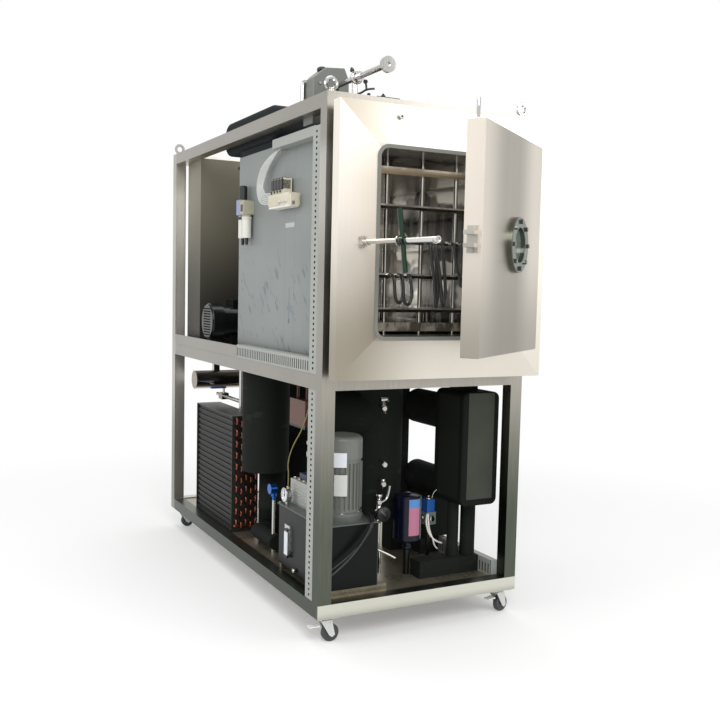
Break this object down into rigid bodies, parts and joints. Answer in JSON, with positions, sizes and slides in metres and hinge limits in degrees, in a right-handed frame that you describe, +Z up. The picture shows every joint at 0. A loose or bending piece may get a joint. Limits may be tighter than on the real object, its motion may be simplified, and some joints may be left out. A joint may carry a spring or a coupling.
{
  "type": "freeze dryer",
  "caption": "Pilot shelf freeze dryer on casters: bright front plate with a side-hung chamber door and sight glass over an open frame of refrigeration and hydraulic units.",
  "frame": {"origin": "on the floor, under the middle of the square-tube frame", "axes": "+Z up, front plate and door towards -Y, +X to the right seen from the front"},
  "size_m": [0.8473, 2.3287, 1.9522],
  "materials": {
    "satin_stainless": "satin brushed stainless sheet and tube",
    "plate_stainless": "bright satin stainless sheet",
    "polished_stainless": "polished stainless",
    "dark_stainless": "stainless in shade, mirror-like",
    "zinc": "zinc plated steel",
    "wheel_grey": "dark grey tread",
    "white_plastic": "white moulded plastic",
    "gasket_grey": "light grey silicone",
    "black_foam": "matt closed-cell foam",
    "sight_glass": "clear tempered glass",
    "handle_green": "dark green-grey sleeve",
    "hose_braid": "braided stainless hose",
    "gloss_black": "gloss black paint",
    "motor_grey": "light grey paint",
    "cable_black": "black cable sheath",
    "fin_grey": "coated fins",
    "dark_steel": "dark coated steel",
    "copper": "red-brown lacquered copper",
    "blue_plastic": "blue plastic",
    "air_unit_plastic": "lilac-blue and grey plastic",
    "black_plastic": "black plastic",
    "cream_plastic": "cream plastic",
    "duct_plastic": "light grey slotted duct"
  },
  "bodies": {
    "machine": {"frame_posts": "satin_stainless", "frame_rails": "satin_stainless", "equipment_deck": "satin_stainless", "side_cladding": "satin_stainless", "plate_fittings": "satin_stainless", "front_plate": "plate_stainless", "chamber_shell": "polished_stainless", "top_plate": "polished_stainless", "guide_rods": "polished_stainless", "roof_piping": "polished_stainless", "eye_bolts": "polished_stainless", "water_and_vacuum_pipes": "polished_stainless", "gauges": "polished_stainless", "floor_pan": "dark_stainless", "control_cabinet": "dark_stainless", "caster_mounts": "zinc", "mouth_gasket": "gasket_grey", "chamber_jacket": "black_foam", "foam_vessels": "black_foam", "foam_pipes": "black_foam", "exchanger_box": "black_foam", "oil_tank": "gloss_black", "vacuum_pump": "gloss_black", "cooling_parts": "gloss_black", "hydraulic_motor": "motor_grey", "valve_block": "motor_grey", "roof_actuator": "motor_grey", "motor_leads": "cable_black", "condenser_block": "fin_grey", "condenser_frame": "dark_steel", "condenser_bends": "copper", "air_unit": "air_unit_plastic", "valve_manifold": "cream_plastic", "wire_ducts": "duct_plastic"},
    "door_leaf": {"door": "satin_stainless", "sight_flange": "polished_stainless", "sight_glass": "sight_glass", "latch_fork": "satin_stainless"},
    "bolt_swing": {"swing_bolt": "polished_stainless"},
    "bolt_washer": {"clamp_washer": "polished_stainless"},
    "bolt_handle": {"latch_handle": "handle_green"},
    "press": {"pressing_plate": "polished_stainless", "shelf_1": "polished_stainless"},
    "shelf_two": {"shelf_2": "polished_stainless", "shelf_hose_2": "hose_braid"},
    "shelf_three": {"shelf_3": "polished_stainless", "shelf_hose_3": "hose_braid"},
    "shelf_four": {"shelf_4": "polished_stainless"},
    "coil_fan": {"condenser_fan": "dark_steel"},
    "vacuum_fan": {"pump_fan": "gloss_black"},
    "air_knob": {"regulator_knob": "black_plastic"},
    "water_lever": {"valve_lever": "blue_plastic"},
    "swivel_left": {"caster_fork_front_left": "zinc"},
    "swivel_right": {"caster_fork_front_right": "zinc"},
    "wheel_front_left": {"caster_wheel_front_left": "wheel_grey"},
    "wheel_front_right": {"caster_wheel_front_right": "wheel_grey"},
    "wheel_back_left": {"caster_wheel_back_left": "wheel_grey"},
    "wheel_back_right": {"caster_wheel_back_right": "wheel_grey"},
    "brake_left": {"brake_pedal_front_left": "white_plastic"},
    "brake_right": {"brake_pedal_front_right": "white_plastic"}
  },
  "joints": [
    {"name": "door_hinge", "type": "hinge", "parent": "machine", "child": "door_leaf", "pos_m": [0.327, -1.023, 1.3795], "axis": [0, 0, 1], "range_deg": [-36, 84]},
    {"name": "bolt_pivot", "type": "hinge", "parent": "machine", "child": "bolt_swing", "pos_m": [-0.333, -1.005, 1.3795], "axis": [0, 0, 1], "range_deg": [-92, 0]},
    {"name": "washer_travel", "type": "slide", "parent": "bolt_swing", "child": "bolt_washer", "axis": [-0.0349, 0.9992, 0.0175], "range_m": [0, 0.176]},
    {"name": "handle_turn", "type": "hinge", "parent": "bolt_washer", "child": "bolt_handle", "pos_m": [-0.32504, -1.23283, 1.37552], "axis": [-0.0349, 0.9992, 0.0175], "range_deg": [0, 7920]},
    {"name": "press_lift", "type": "slide", "parent": "machine", "child": "press", "axis": [0, 0, 1], "range_m": [0, 0.2]},
    {"name": "shelf_two_lift", "type": "slide", "parent": "machine", "child": "shelf_two", "axis": [0, 0, 1], "range_m": [0, 0.15], "deforming": ["shelf_hose_2"]},
    {"name": "shelf_three_lift", "type": "slide", "parent": "machine", "child": "shelf_three", "axis": [0, 0, 1], "range_m": [0, 0.1], "deforming": ["shelf_hose_3"]},
    {"name": "shelf_four_lift", "type": "slide", "parent": "machine", "child": "shelf_four", "axis": [0, 0, 1], "range_m": [0, 0.05]},
    {"name": "coil_fan_spin", "type": "hinge", "parent": "machine", "child": "coil_fan", "pos_m": [-0.225, 0.3835, 0.407], "axis": [1, 0, 0], "continuous": true},
    {"name": "vacuum_fan_spin", "type": "hinge", "parent": "machine", "child": "vacuum_fan", "pos_m": [-0.341, 0.466, 1.061], "axis": [1, 0, 0], "continuous": true},
    {"name": "air_knob_turn", "type": "hinge", "parent": "machine", "child": "air_knob", "pos_m": [-0.376, -0.0085, 1.59], "axis": [0, 0, 1], "range_deg": [0, 1080]},
    {"name": "water_lever_turn", "type": "hinge", "parent": "machine", "child": "water_lever", "pos_m": [-0.258, 0.55, 0.737], "axis": [0, 0, 1], "range_deg": [0, 90]},
    {"name": "swivel_left_turn", "type": "hinge", "parent": "machine", "child": "swivel_left", "pos_m": [-0.367, -0.842, 0.08], "axis": [0, 0, 1], "continuous": true},
    {"name": "wheel_front_left_roll", "type": "hinge", "parent": "swivel_left", "child": "wheel_front_left", "pos_m": [-0.345, -0.842, 0.031], "axis": [0, 1, 0], "continuous": true},
    {"name": "brake_left_press", "type": "hinge", "parent": "swivel_left", "child": "brake_left", "pos_m": [-0.393, -0.842, 0.061], "axis": [0, -1, 0], "range_deg": [0, 14]},
    {"name": "swivel_right_turn", "type": "hinge", "parent": "machine", "child": "swivel_right", "pos_m": [0.367, -0.842, 0.08], "axis": [0, 0, 1], "continuous": true},
    {"name": "wheel_front_right_roll", "type": "hinge", "parent": "swivel_right", "child": "wheel_front_right", "pos_m": [0.38825, -0.83631, 0.031], "axis": [-0.2588, 0.9659, 0], "continuous": true},
    {"name": "brake_right_press", "type": "hinge", "parent": "swivel_right", "child": "brake_right", "pos_m": [0.34189, -0.84873, 0.061], "axis": [0.2588, -0.9659, 0], "range_deg": [0, 14]},
    {"name": "wheel_back_left_roll", "type": "hinge", "parent": "machine", "child": "wheel_back_left", "pos_m": [-0.345, 0.842, 0.031], "axis": [0, 1, 0], "continuous": true},
    {"name": "wheel_back_right_roll", "type": "hinge", "parent": "machine", "child": "wheel_back_right", "pos_m": [0.389, 0.842, 0.031], "axis": [0, 1, 0], "continuous": true}
  ],
  "couplings": [
    {"joint": "handle_turn", "follows": "washer_travel", "rad_per_m": 785.4},
    {"joint": "shelf_two_lift", "follows": "press_lift", "ratio": 0.75},
    {"joint": "shelf_three_lift", "follows": "press_lift", "ratio": 0.5},
    {"joint": "shelf_four_lift", "follows": "press_lift", "ratio": 0.25}
  ]
}
